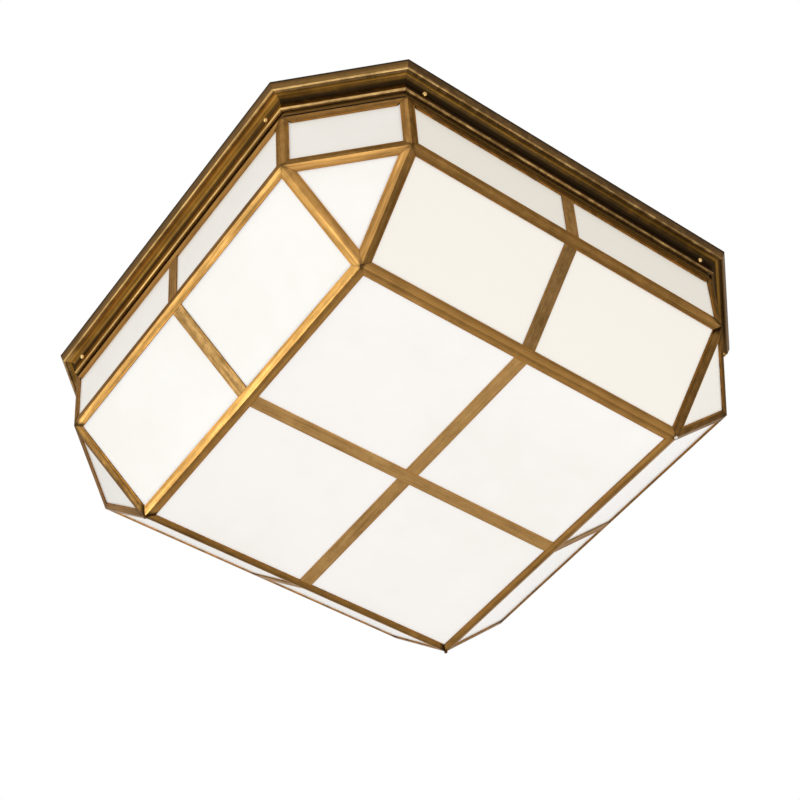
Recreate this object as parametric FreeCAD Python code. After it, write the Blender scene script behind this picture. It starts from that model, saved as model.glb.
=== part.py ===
import FreeCAD, Part

import itertools
import math
import os
from collections import namedtuple

# Octagonal flush mount ceiling light: an opal-glass shade framed in brass
# angle strip hangs under a brass moulded canopy, held by eight ball-headed screws.
# The origin is the centre of the ceiling plane, +Z points up, all sizes are millimetres.

Vector = FreeCAD.Vector
UP = Vector(0, 0, 1)
SIDES = 4

# Whole light: drop below the ceiling, half width of the collar and its corner cut
TOTAL_DROP = 170.0
COLLAR_HALF = 244.8
CORNER_CUT = 73.9

# Shade envelope, each outline stepped in from the one above it
REVEAL = 7.8
SLOPE_SHARE = 0.53
RIM_INSET = 1.0
RIM_SIDE_INSET = 2.1
WAIST_INSET = 2.3
WAIST_SIDE_INSET = 2.1
BASE_SIDE_INSET = 1.7

# Brass strip and glass of the shade
SHEET = 1.2
LEG = 6.8
TOP_LEG = 9.0
RIDGE_ROUND = 0.7
BAR_WIDTH = 12.7
GLASS = 3.0
PANE_INSET = 3.0
PANE_GAP = 2.0
CLIP_SHEET = 0.8
CLIP_LENGTH = 10.0
CLIP_REACH = 8.5
BEAD_RADIUS = 1.7

# Canopy moulding, a bent sheet section swept round the octagon
CANOPY_DEPTH = 22.0
COLLAR_HEIGHT = 8.5
COVE_RADIUS = 6.5
COVE_START_DEG = 180.0
COVE_END_DEG = 62.0
FASCIA_HEIGHT = 7.0
FASCIA_FOOT_OUT = 11.5
FASCIA_TOP_OUT = 14.5
HEM_DROP = 0.3
RETURN_WIDTH = 8.0
ROLL_RADIUS = 1.7
ROLL_BACK = 1.0

# Neck of the shade and the screws that grip it
NECK_CLEARANCE = 3.0
NECK_TOP_CLEARANCE = 0.8
SCREW_SHARE = 0.897
SCREW_RADIUS = 1.25
SCREW_FIT = 0.05
SCREW_RISE = 4.8
SCREW_TIP_GAP = 0.3
BALL_RADIUS = 2.3
BALL_GAP = 0.3
INSERT_RADIUS = 2.2
INSERT_DEPTH = 2.0

# Pan plate and its wire bushing
PLATE = 1.2
WIRE_HOLE_RADIUS = 6.0
BUSHING_GAP = 1.0
BUSHING_WALL = 1.2
BUSHING_FLANGE = 2.0
BUSHING_FLANGE_HEIGHT = 1.2

# Crossbar on the ceiling box, its studs, cap nuts and ground screw
BAR_END = 15.8
BAR_ACROSS = 20.0
BAR_THICK = 2.5
BOX_SCREW_SPACING = 88.9
BOX_SLOT_LENGTH = 16.0
BOX_SLOT_RADIUS = 2.4
BAR_CENTRE_HOLE_RADIUS = 5.2
STUD_SPACING = 152.4
STUD_RADIUS = 2.4
STUD_FIT = 0.1
STUD_RECESS = 0.3
STUD_BELOW_PLATE = 8.0
JAM_NUT_RADIUS = 5.2
JAM_NUT_HEIGHT = 2.4
CAP_NUT_RADIUS = 5.6
CAP_NUT_HEX_HEIGHT = 5.0
CAP_NUT_DOME_RADIUS = 4.6
CAP_NUT_TIP_ROOM = 1.0
GROUND_SCREW_OUT = 22.0
GROUND_SCREW_RADIUS = 1.9
GROUND_HEAD_RADIUS = 4.0
GROUND_HEAD_HEIGHT = 2.2
DRIVER_SLOT = 0.9

# Lamps, their holders and the brackets that carry them
LAMP_HEADROOM = 15.8
BULB_RADIUS = 30.0
BULB_NECK_RADIUS = 12.6
BULB_SHOULDER_DEG = 50.0
BULB_NECK_TO_CENTRE = 54.0
BASE_RADIUS = 13.2
BASE_LENGTH = 22.0
BASE_TAPER = 3.2
BASE_COLLAR_RADIUS = 9.0
TIP_RADIUS = 4.6
TIP_LENGTH = 1.6
LAMP_GAP = 0.3
HOLDER_BACK_OUT = 31.0
HOLDER_LENGTH = 46.0
HOLDER_BACK_RADIUS = 16.0
HOLDER_BACK_LENGTH = 14.0
HOLDER_RADIUS = 20.0
HOLDER_RIM = 1.6
HOLDER_FLOOR = 19.0
HOLDER_SLACK = 0.1
SHELL = 0.4
SHELL_SHORT = 2.0
CONTACT_RADIUS = 4.0
CONTACT_HEIGHT = 0.8
BRACKET_SHEET = 1.2
BRACKET_WIDTH = 22.0
BRACKET_FOOT = 18.0
BRACKET_BEND = 1.6
BRACKET_TAIL = 12.0
RIVET_RADIUS = 1.6
RIVET_FIT = 0.05
RIVET_HEAD_RADIUS = 3.0
RIVET_HEAD_HEIGHT = 1.0
RIVET_ACROSS = 12.0
EYELET_RADIUS = 3.4
EYELET_BORE = 2.2
EYELET_FLANGE_RADIUS = 5.0
EYELET_FLANGE = 0.6
EYELET_TAIL = 6.0

# Terminal block and lamp leads
BLOCK_HALF = 17.0
BLOCK_HEIGHT = 12.0
BLOCK_ROUND = 1.5
BLOCK_SCREW_RADIUS = 1.8
BLOCK_SCREW_DEPTH = 3.0
BLOCK_SCREW_PITCH = 7.0
LEAD_RADIUS = 1.6
LEAD_BEND = 12.0
LEAD_START_GAP = 0.2

OVERRUN = 1.0
TOUCH = 1e-6
ON_FACE = 1e-5

# Heights and outlines worked out from the sizes above
BASE_Z = -TOTAL_DROP
LIP_Z = -CANOPY_DEPTH
RIM_Z = LIP_Z - REVEAL
WAIST_Z = BASE_Z + SLOPE_SHARE * (RIM_Z - BASE_Z)
COLLAR_SIDE_HALF = COLLAR_HALF - CORNER_CUT
RIM_HALF = COLLAR_HALF - RIM_INSET
RIM_SIDE_HALF = COLLAR_SIDE_HALF - RIM_SIDE_INSET
WAIST_HALF = RIM_HALF - WAIST_INSET
WAIST_SIDE_HALF = RIM_SIDE_HALF - WAIST_SIDE_INSET
BASE_HALF = WAIST_SIDE_HALF - BASE_SIDE_INSET
COLLAR_TOP_Z = LIP_Z + COLLAR_HEIGHT
PLATE_UNDER_Z = COLLAR_TOP_Z - PLATE / 2
PLATE_TOP_Z = PLATE_UNDER_Z + PLATE
NECK_TOP_Z = PLATE_UNDER_Z - NECK_TOP_CLEARANCE
SCREW_Z = LIP_Z + SCREW_RISE
LAMP_Z = PLATE_UNDER_Z - LAMP_HEADROOM - BULB_RADIUS
GLASS_BACK = SHEET + GLASS
BAR_LENGTH = STUD_SPACING + 2 * BAR_END
WIRE_HOLE_OUT = BLOCK_HALF + BUSHING_GAP + WIRE_HOLE_RADIUS + BUSHING_FLANGE
MITRE = math.tan(math.pi / 8)
DIAGONAL = math.sqrt(0.5)

Facet = namedtuple("Facet", "corners normal limit")


def octagon(half, side_half, z):
    """Corners of an octagon with four long sides, counter-clockwise from the -Y side."""
    plan = [(-side_half, -half), (side_half, -half), (half, -side_half), (half, side_half),
            (side_half, half), (-side_half, half), (-half, side_half), (-half, -side_half)]
    return [Vector(x, y, z) for x, y in plan]


def offset_octagon(outward, z):
    """The collar octagon moved outward by the same distance on all eight sides."""
    return octagon(COLLAR_HALF + outward, COLLAR_SIDE_HALF + MITRE * outward, z)


def turn(shape, quarter):
    """A copy of the shape turned about the vertical axis by quarters of a turn."""
    copy = shape.copy()
    copy.rotate(Vector(0, 0, 0), UP, 90 * quarter)
    return copy


def facet(corners):
    normal = (corners[1] - corners[0]).cross(corners[2] - corners[0])
    normal.normalize()
    if normal.dot(corners[0] - Vector(0, 0, (BASE_Z + RIM_Z) / 2)) < 0:
        corners = list(reversed(corners))
        normal = normal * -1
    return Facet(corners, normal, normal.dot(corners[0]))


def shade_facets():
    """The flat faces of the shade: base, slopes, corner triangles, band, band corners, top."""
    base = [Vector(x * BASE_HALF, y * BASE_HALF, BASE_Z)
            for x, y in ((-1, -1), (1, -1), (1, 1), (-1, 1))]
    waist = octagon(WAIST_HALF, WAIST_SIDE_HALF, WAIST_Z)
    rim = octagon(RIM_HALF, RIM_SIDE_HALF, RIM_Z)
    faces = {"base": facet(base), "top": facet(rim)}
    for side in range(SIDES):
        a, b, c = 2 * side, 2 * side + 1, (2 * side + 2) % 8
        near, far = base[side], base[(side + 1) % SIDES]
        faces["slope", side] = facet([near, far, waist[b], waist[a]])
        faces["corner", side] = facet([far, waist[c], waist[b]])
        faces["band", side] = facet([waist[a], waist[b], rim[b], rim[a]])
        faces["band_corner", side] = facet([waist[b], waist[c], rim[c], rim[b]])
    return faces


FACETS = shade_facets()


def unit_half_space(normal, limit):
    size = normal.Length
    return Vector(normal.x / size, normal.y / size, normal.z / size), limit / size


def deeper_than(face, depth):
    return face.normal, face.limit - depth


def shallower_than(face, depth):
    return face.normal * -1, depth - face.limit


def nearer_to(face, other, slack=0):
    """Points whose depth under one facet is at most their depth under the other."""
    normal, limit = unit_half_space(other.normal - face.normal, other.limit - face.limit)
    return normal, limit + slack


def same_point(one, other):
    return (one - other).Length < TOUCH


def shared_corners(face, other):
    return [p for p in face.corners if any(same_point(p, q) for q in other.corners)]


def neighbours(face):
    return [other for other in FACETS.values()
            if other is not face and shared_corners(face, other)]


def edge_inward(face, index):
    """Direction into the facet from one of its edges, square to the edge."""
    start = face.corners[index]
    end = face.corners[(index + 1) % len(face.corners)]
    along = end - start
    along.normalize()
    return face.normal.cross(along)


def inside_edge(face, index, distance):
    inward = edge_inward(face, index)
    return inward * -1, -(distance + inward.dot(face.corners[index]))


def along_edge_within(face, index, distance):
    inward = edge_inward(face, index)
    return inward, distance + inward.dot(face.corners[index])


def mitre_with(face, index, other_index):
    inward = edge_inward(face, index)
    other = edge_inward(face, other_index)
    limit = inward.dot(face.corners[index]) - other.dot(face.corners[other_index])
    return unit_half_space(inward - other, limit)


def edge_shared_with(face, other):
    count = len(face.corners)
    for index in range(count):
        ends = face.corners[index], face.corners[(index + 1) % count]
        if all(any(same_point(p, q) for q in other.corners) for p in ends):
            return index
    raise ValueError("the two facets share no edge")


def meeting_point(one, two, three):
    (n1, c1), (n2, c2), (n3, c3) = one, two, three
    spread = n1.dot(n2.cross(n3))
    if abs(spread) < TOUCH:
        return None
    return (n2.cross(n3) * c1 + n3.cross(n1) * c2 + n1.cross(n2) * c3) * (1 / spread)


def convex_solid(half_spaces):
    """The solid common to half-spaces, each a unit normal and its limit."""
    corners = []
    for three in itertools.combinations(half_spaces, 3):
        point = meeting_point(*three)
        if point is None or any(n.dot(point) > c + TOUCH for n, c in half_spaces):
            continue
        if not any(same_point(point, known) for known in corners):
            corners.append(point)
    faces = []
    for normal, limit in half_spaces:
        ring = [p for p in corners if abs(normal.dot(p) - limit) < ON_FACE]
        if len(ring) < 3:
            continue
        middle = sum(ring, Vector(0, 0, 0)) * (1 / len(ring))
        first = ring[0] - middle
        second = normal.cross(first)
        ring.sort(key=lambda p: math.atan2((p - middle).dot(second), (p - middle).dot(first)))
        faces.append(Part.Face(Part.makePolygon(ring + ring[:1])))
    return Part.makeSolid(Part.makeShell(faces))


def strip(face, index, depth_low, depth_high, width):
    """The flange of a folded strip that lies on one facet, mitred at both ends."""
    count = len(face.corners)
    limits = [deeper_than(face, depth_low), shallower_than(face, depth_high),
              along_edge_within(face, index, width),
              mitre_with(face, index, (index - 1) % count),
              mitre_with(face, index, (index + 1) % count)]
    limits += [nearer_to(face, other) for other in neighbours(face)]
    return convex_solid(limits)


def on_line(point, start, end):
    along = end - start
    return (point - start).cross(along).Length < ON_FACE * along.Length


def angle_bar(one, other, width=LEG):
    """A strip folded over the edge between two facets, with a rounded ridge."""
    face, second = FACETS[one], FACETS[other]
    index = edge_shared_with(face, second)
    start = face.corners[index]
    end = face.corners[(index + 1) % len(face.corners)]
    legs = strip(face, index, 0, SHEET, width)
    legs = legs.fuse(strip(second, edge_shared_with(second, face), 0, SHEET, LEG))
    legs = legs.removeSplitter()
    ridge = [edge for edge in legs.Edges
             if all(on_line(vertex.Point, start, end) for vertex in edge.Vertexes)]
    return legs.makeFillet(RIDGE_ROUND, ridge).Solids[0]


def facet_block(face, centre, along, length, width, depth_low, depth_high):
    """A flat bar on a facet, centred on a point of the facet's outer plane."""
    across = face.normal.cross(along)
    lengthwise = along * (length / 2)
    crosswise = across * (width / 2)
    middle = centre - face.normal * depth_low
    ring = [middle - lengthwise - crosswise, middle + lengthwise - crosswise,
            middle + lengthwise + crosswise, middle - lengthwise + crosswise]
    outline = Part.Face(Part.makePolygon(ring + ring[:1]))
    return outline.extrude(face.normal * (depth_low - depth_high))


def mid_line(face):
    """Middle of a four-sided facet and the direction and height of its mid-line."""
    low = (face.corners[0] + face.corners[1]) * 0.5
    high = (face.corners[2] + face.corners[3]) * 0.5
    along = high - low
    height = along.Length
    along.normalize()
    return (low + high) * 0.5, along, height


def mid_bar(face, top_width=LEG):
    """A flat bar down the middle of a facet, from one folded strip to the next."""
    centre, along, height = mid_line(face)
    centre = centre - along * ((top_width - LEG) / 2)
    return facet_block(face, centre, along, height - LEG - top_width, BAR_WIDTH, 0, SHEET)


def pane(face, extra=()):
    """A glass pane laid against the flanges of one facet."""
    limits = [deeper_than(face, SHEET), shallower_than(face, GLASS_BACK)]
    limits += [inside_edge(face, index, PANE_INSET) for index in range(len(face.corners))]
    return convex_solid(limits + list(extra))


def half_panes(face):
    """Two panes that meet behind the facet's mid bar."""
    centre, along, height = mid_line(face)
    across = face.normal.cross(along)
    middle = across.dot(centre)
    right = (across * -1, -(middle + PANE_GAP / 2))
    left = (across, middle - PANE_GAP / 2)
    return [pane(face, [right]), pane(face, [left])]


def base_panes():
    face = FACETS["base"]
    keep_out = -PANE_GAP / 2
    panes = []
    for x, y in ((-1, -1), (1, -1), (1, 1), (-1, 1)):
        panes.append(pane(face, [(Vector(-x, 0, 0), keep_out), (Vector(0, -y, 0), keep_out)]))
    return panes


def ridge_clip(one, other, share):
    """A soldered clip on the inside of a ridge: a riser between two panes and two wings."""
    face, second = FACETS[one], FACETS[other]
    index = edge_shared_with(face, second)
    start = face.corners[index]
    end = face.corners[(index + 1) % len(face.corners)]
    centre = start + (end - start) * share
    along = end - start
    along.normalize()
    ends = [(along, along.dot(centre) + CLIP_LENGTH / 2),
            (along * -1, CLIP_LENGTH / 2 - along.dot(centre))]
    clip_top = GLASS_BACK + CLIP_SHEET
    riser = [nearer_to(face, second, CLIP_SHEET / 2), nearer_to(second, face, CLIP_SHEET / 2),
             deeper_than(face, SHEET), deeper_than(second, SHEET),
             shallower_than(face, clip_top), shallower_than(second, clip_top)]
    clip = convex_solid(riser + ends)
    for this, that in ((face, second), (second, face)):
        reach = along_edge_within(this, edge_shared_with(this, that), CLIP_REACH)
        wing = [deeper_than(this, GLASS_BACK), shallower_than(this, clip_top),
                nearer_to(this, that), reach]
        clip = clip.fuse(convex_solid(wing + ends))
    return clip.removeSplitter().Solids[0]


def rim_tab(face, share):
    """A tab turned down from the top ledge behind a band pane."""
    top = FACETS["top"]
    index = edge_shared_with(face, top)
    start = face.corners[index]
    end = face.corners[(index + 1) % len(face.corners)]
    centre = start + (end - start) * share
    along = end - start
    along.normalize()
    return convex_solid([(along, along.dot(centre) + CLIP_LENGTH / 2),
                         (along * -1, CLIP_LENGTH / 2 - along.dot(centre)),
                         deeper_than(face, GLASS_BACK),
                         shallower_than(face, GLASS_BACK + CLIP_SHEET),
                         deeper_than(top, SHEET), shallower_than(top, SHEET + CLIP_REACH)])


def bar_clip(face, centre, along):
    """A clip behind a flat bar: a riser in the gap between two panes under a cross plate."""
    riser = facet_block(face, centre, along, CLIP_LENGTH, CLIP_SHEET, SHEET,
                        GLASS_BACK + CLIP_SHEET)
    plate = facet_block(face, centre, along, CLIP_LENGTH, BAR_WIDTH, GLASS_BACK,
                        GLASS_BACK + CLIP_SHEET)
    return riser.fuse(plate).removeSplitter().Solids[0]


# Places of the clips along each ridge or bar, as shares of its length
LONG_CLIP_SHARES = (0.16, 0.36, 0.64, 0.84)
SHORT_CLIP_SHARES = (0.5,)
BASE_BAR_CLIP_SHARES = (0.35, 0.75)


def glass_clips():
    clips = []
    for side in range(SIDES):
        before = (side - 1) % SIDES
        pairs = [("base", ("slope", side), LONG_CLIP_SHARES),
                 (("slope", side), ("band", side), LONG_CLIP_SHARES),
                 (("slope", side), ("corner", side), SHORT_CLIP_SHARES),
                 (("slope", side), ("corner", before), SHORT_CLIP_SHARES),
                 (("corner", side), ("band_corner", side), SHORT_CLIP_SHARES),
                 (("band", side), ("band_corner", side), SHORT_CLIP_SHARES),
                 (("band", side), ("band_corner", before), SHORT_CLIP_SHARES)]
        for one, other, shares in pairs:
            clips += [ridge_clip(one, other, share) for share in shares]
        clips += [rim_tab(FACETS["band", side], share) for share in LONG_CLIP_SHARES[1::2]]
        clips.append(rim_tab(FACETS["band_corner", side], SHORT_CLIP_SHARES[0]))
        for kind in ("slope", "band"):
            centre, along, height = mid_line(FACETS[kind, side])
            clips.append(bar_clip(FACETS[kind, side], centre, along))
        out = turned_direction(side)
        for share in BASE_BAR_CLIP_SHARES:
            centre = Vector(0, 0, BASE_Z) + out * (BASE_HALF * share)
            clips.append(bar_clip(FACETS["base"], centre, out))
    return clips


def turned_direction(side):
    """Outward direction of a long side, starting with -Y and going counter-clockwise."""
    angle = math.radians(90 * (side - 1))
    return Vector(math.cos(angle), math.sin(angle), 0)


def solder_beads():
    """A drop of solder on each corner of the base, outside the strips."""
    envelope = convex_solid([(face.normal, face.limit) for face in FACETS.values()])
    drop = Part.makeSphere(BEAD_RADIUS, Vector(-BASE_HALF, -BASE_HALF, BASE_Z))
    return [turn(drop.cut(envelope), side) for side in range(SIDES)]


def prism(corners, height):
    return Part.Face(Part.makePolygon(corners + corners[:1])).extrude(Vector(0, 0, height))


def neck_ring():
    """The upstand soldered on the top ledge, which slips inside the canopy's collar."""
    height = NECK_TOP_Z - RIM_Z
    outside = -SHEET - NECK_CLEARANCE
    ring = prism(offset_octagon(outside, RIM_Z), height)
    return ring.cut(prism(offset_octagon(outside - SHEET, RIM_Z), height))


def moulding_profile():
    """Section of the bent canopy sheet, X outward from the collar face and Z up.

    Round from the ceiling: fascia, folded hem, cove, collar and a rolled lower edge.
    """
    def at(x, z):
        return Vector(x, 0, z)

    def on_cove(radius, degrees):
        angle = math.radians(degrees)
        return at(COVE_RADIUS + radius * math.cos(angle),
                  COLLAR_TOP_Z + radius * math.sin(angle))

    cove_middle = (COVE_START_DEG + COVE_END_DEG) / 2
    hidden = COVE_RADIUS + SHEET
    foot = at(FASCIA_FOOT_OUT, -FASCIA_HEIGHT)
    cove_end = on_cove(COVE_RADIUS, COVE_END_DEG)
    hem = at((foot.x + cove_end.x) / 2, min(foot.z, cove_end.z) - HEM_DROP)
    roll_z = LIP_Z + ROLL_RADIUS
    roll_start = at(0, roll_z + math.sqrt(ROLL_RADIUS ** 2 - ROLL_BACK ** 2))
    roll_end = at(-SHEET, roll_z + math.sqrt(ROLL_RADIUS ** 2 - (SHEET - ROLL_BACK) ** 2))
    lean = (FASCIA_TOP_OUT - FASCIA_FOOT_OUT) / FASCIA_HEIGHT
    fascia_back = at(FASCIA_TOP_OUT - SHEET * (math.hypot(1, lean) + lean), -SHEET)
    edges = [Part.makeLine(at(FASCIA_TOP_OUT, 0), foot),
             Part.Arc(foot, hem, cove_end).toShape(),
             Part.Arc(cove_end, on_cove(COVE_RADIUS, cove_middle), at(0, COLLAR_TOP_Z)).toShape(),
             Part.makeLine(at(0, COLLAR_TOP_Z), roll_start),
             Part.Arc(roll_start, at(-ROLL_BACK, LIP_Z), roll_end).toShape(),
             Part.makeLine(roll_end, at(-SHEET, COLLAR_TOP_Z)),
             Part.Arc(at(-SHEET, COLLAR_TOP_Z), on_cove(hidden, cove_middle),
                      on_cove(hidden, COVE_END_DEG)).toShape(),
             Part.makeLine(on_cove(hidden, COVE_END_DEG), fascia_back),
             Part.makeLine(fascia_back, at(FASCIA_TOP_OUT - RETURN_WIDTH, -SHEET)),
             Part.makeLine(at(FASCIA_TOP_OUT - RETURN_WIDTH, -SHEET),
                           at(FASCIA_TOP_OUT - RETURN_WIDTH, 0)),
             Part.makeLine(at(FASCIA_TOP_OUT - RETURN_WIDTH, 0), at(FASCIA_TOP_OUT, 0))]
    return Part.Face(Part.Wire(edges))


def moulding(reach, half_length):
    """One side of the canopy along Y, its ends mitred, the collar face at X = reach."""
    inner, outer = -ROLL_BACK - ROLL_RADIUS - OVERRUN, FASCIA_TOP_OUT + OVERRUN
    longest = half_length + MITRE * outer
    section = moulding_profile()
    section.translate(Vector(reach, -longest, 0))
    length = section.extrude(Vector(0, 2 * longest, 0))
    wedge = [Vector(reach + inner, -half_length - MITRE * inner, LIP_Z - OVERRUN),
             Vector(reach + outer, -longest, LIP_Z - OVERRUN),
             Vector(reach + outer, longest, LIP_Z - OVERRUN),
             Vector(reach + inner, half_length + MITRE * inner, LIP_Z - OVERRUN)]
    return length.common(prism(wedge, CANOPY_DEPTH + 2 * OVERRUN)).Solids[0]


def screw_places():
    """Places of the two screws of the +X side."""
    return [-SCREW_SHARE * COLLAR_SIDE_HALF, SCREW_SHARE * COLLAR_SIDE_HALF]


def radial_cylinder(radius, x_low, x_high, y, z):
    return Part.makeCylinder(radius, x_high - x_low, Vector(x_low, y, z), Vector(1, 0, 0))


def long_mouldings():
    side = moulding(COLLAR_HALF, COLLAR_SIDE_HALF)
    for y in screw_places():
        hole = radial_cylinder(SCREW_RADIUS + SCREW_FIT, COLLAR_HALF - SHEET - OVERRUN,
                               COLLAR_HALF + OVERRUN, y, SCREW_Z)
        side = side.cut(hole)
    return [turn(side, quarter) for quarter in range(SIDES)]


def corner_mouldings():
    reach = (COLLAR_HALF + COLLAR_SIDE_HALF) * DIAGONAL
    half_length = (COLLAR_HALF - COLLAR_SIDE_HALF) * DIAGONAL
    side = moulding(reach, half_length)
    side.rotate(Vector(0, 0, 0), UP, 45)
    return [turn(side, quarter) for quarter in range(SIDES)]


def screw_inserts():
    """Threaded bosses soldered inside the collar, one for each screw, above its roll."""
    inner = COLLAR_HALF - SHEET - INSERT_DEPTH
    collar = moulding(COLLAR_HALF, COLLAR_SIDE_HALF)
    bosses = []
    for quarter in range(SIDES):
        for y in screw_places():
            boss = radial_cylinder(INSERT_RADIUS, inner, COLLAR_HALF - SHEET, y, SCREW_Z)
            bore = radial_cylinder(SCREW_RADIUS + SCREW_FIT, inner - OVERRUN, COLLAR_HALF, y, SCREW_Z)
            bosses.append(turn(boss.cut(bore).cut(collar).Solids[0], quarter))
    return bosses


def revolved(points, y=0, z=0):
    """A solid turned about an X-parallel axis from X and radius pairs."""
    outline = [Vector(x, 0, radius) for x, radius in points]
    solid = Part.Face(Part.makePolygon(outline + outline[:1]))
    solid = solid.revolve(Vector(0, 0, 0), Vector(1, 0, 0), 360)
    solid.translate(Vector(0, y, z))
    return solid


def shade_screws():
    """Ball-headed screws, two on each long side."""
    neck_face = COLLAR_HALF - SHEET - NECK_CLEARANCE
    tip = neck_face + SCREW_TIP_GAP
    ball = COLLAR_HALF + BALL_GAP + BALL_RADIUS
    point = SCREW_RADIUS / 2
    shank = [(tip, 0), (tip, SCREW_RADIUS - point), (tip + point, SCREW_RADIUS),
             (ball, SCREW_RADIUS), (ball, 0)]
    screws = []
    for quarter in range(SIDES):
        for y in screw_places():
            head = Part.makeSphere(BALL_RADIUS, Vector(ball, y, SCREW_Z))
            screws.append(turn(head.fuse(revolved(shank, y, SCREW_Z)), quarter))
    return screws


def hexagon(radius, x, y, z):
    return [Vector(x + radius * math.cos(math.radians(60 * k)),
                   y + radius * math.sin(math.radians(60 * k)), z) for k in range(6)]


def upright(radius, x, y, z_low, z_high):
    return Part.makeCylinder(radius, z_high - z_low, Vector(x, y, z_low))


def slot(x, length, radius):
    """A through slot of the crossbar along X."""
    straight = length - 2 * radius
    low = -BAR_THICK - OVERRUN
    cut = Part.makeBox(straight, 2 * radius, BAR_THICK + 2 * OVERRUN,
                       Vector(x - straight / 2, -radius, low))
    for end in (-1, 1):
        cut = cut.fuse(upright(radius, x + end * straight / 2, 0, low, OVERRUN))
    return cut


def crossbar():
    """Steel strip that screws to the ceiling box and carries the canopy's studs."""
    half = BAR_ACROSS / 2
    straight = BAR_LENGTH - BAR_ACROSS
    bar = Part.makeBox(straight, BAR_ACROSS, BAR_THICK, Vector(-straight / 2, -half, -BAR_THICK))
    for end in (-1, 1):
        bar = bar.fuse(upright(half, end * straight / 2, 0, -BAR_THICK, 0))
    bar = bar.removeSplitter()
    for end in (-1, 1):
        bar = bar.cut(slot(end * BOX_SCREW_SPACING / 2, BOX_SLOT_LENGTH, BOX_SLOT_RADIUS))
        bar = bar.cut(upright(STUD_RADIUS, end * STUD_SPACING / 2, 0, -BAR_THICK - OVERRUN, OVERRUN))
    bar = bar.cut(upright(BAR_CENTRE_HOLE_RADIUS, 0, 0, -BAR_THICK - OVERRUN, OVERRUN))
    bar = bar.cut(upright(GROUND_SCREW_RADIUS, -GROUND_SCREW_OUT, 0, -BAR_THICK - OVERRUN, OVERRUN))
    return bar


def canopy_studs():
    """Threaded studs with their jam nuts, hung from the crossbar."""
    studs = []
    for end in (-1, 1):
        x = end * STUD_SPACING / 2
        rod = upright(STUD_RADIUS, x, 0, PLATE_UNDER_Z - STUD_BELOW_PLATE, -STUD_RECESS)
        nut = prism(hexagon(JAM_NUT_RADIUS, x, 0, -BAR_THICK - JAM_NUT_HEIGHT), JAM_NUT_HEIGHT)
        studs.append(rod.fuse(nut))
    return studs


def cap_nuts():
    """Closed nuts that draw the pan plate up on the studs."""
    nuts = []
    for end in (-1, 1):
        x = end * STUD_SPACING / 2
        foot = PLATE_UNDER_Z - CAP_NUT_HEX_HEIGHT
        body = prism(hexagon(CAP_NUT_RADIUS, x, 0, foot), CAP_NUT_HEX_HEIGHT)
        body = body.fuse(Part.makeSphere(CAP_NUT_DOME_RADIUS, Vector(x, 0, foot)))
        bore_end = PLATE_UNDER_Z - STUD_BELOW_PLATE - CAP_NUT_TIP_ROOM / 2
        body = body.cut(upright(STUD_RADIUS, x, 0, bore_end, PLATE_UNDER_Z))
        nuts.append(body)
    return nuts


def ground_screw():
    x = -GROUND_SCREW_OUT
    under = -BAR_THICK - GROUND_HEAD_HEIGHT
    screw = upright(GROUND_HEAD_RADIUS, x, 0, under, -BAR_THICK)
    screw = screw.fuse(upright(GROUND_SCREW_RADIUS, x, 0, -BAR_THICK, -STUD_RECESS))
    width = 2 * (GROUND_HEAD_RADIUS + OVERRUN)
    cut = Part.makeBox(DRIVER_SLOT, width, GROUND_HEAD_HEIGHT / 2 + OVERRUN,
                       Vector(x - DRIVER_SLOT / 2, -width / 2, under - OVERRUN))
    return screw.cut(cut)


def rivet_places():
    """Rivet places of the bracket that points along +X, before it is turned to its diagonal."""
    x = HOLDER_BACK_OUT + BRACKET_FOOT / 2 + BRACKET_BEND / 2
    return [(x, -RIVET_ACROSS / 2), (x, RIVET_ACROSS / 2)]


def on_diagonals(shape):
    """Four copies of a shape built along +X, turned to the diagonals."""
    copies = []
    for quarter in range(SIDES):
        copy = shape.copy()
        copy.rotate(Vector(0, 0, 0), UP, 45 + 90 * quarter)
        copies.append(copy)
    return copies


def canopy_plate():
    """White pan plate soldered inside the collar."""
    plate = prism(offset_octagon(-SHEET, PLATE_UNDER_Z), PLATE)
    low, high = PLATE_UNDER_Z - OVERRUN, PLATE_TOP_Z + OVERRUN
    for end in (-1, 1):
        plate = plate.cut(upright(STUD_RADIUS + STUD_FIT, end * STUD_SPACING / 2, 0, low, high))
    plate = plate.cut(upright(WIRE_HOLE_RADIUS, 0, WIRE_HOLE_OUT, low, high))
    for x, y in rivet_places():
        for hole in on_diagonals(upright(RIVET_RADIUS + RIVET_FIT, x, y, low, high)):
            plate = plate.cut(hole)
    return plate


def wire_bushing():
    """Snap-in bushing that lines the wire hole, flanged above and below the plate."""
    flange = WIRE_HOLE_RADIUS + BUSHING_FLANGE
    low = PLATE_UNDER_Z - BUSHING_FLANGE_HEIGHT
    high = PLATE_TOP_Z + BUSHING_FLANGE_HEIGHT
    body = upright(WIRE_HOLE_RADIUS, 0, WIRE_HOLE_OUT, low, high)
    body = body.fuse(upright(flange, 0, WIRE_HOLE_OUT, low, PLATE_UNDER_Z))
    body = body.fuse(upright(flange, 0, WIRE_HOLE_OUT, PLATE_TOP_Z, high))
    bore = upright(WIRE_HOLE_RADIUS - BUSHING_WALL, 0, WIRE_HOLE_OUT, low - OVERRUN, high + OVERRUN)
    return body.cut(bore).removeSplitter()


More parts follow.
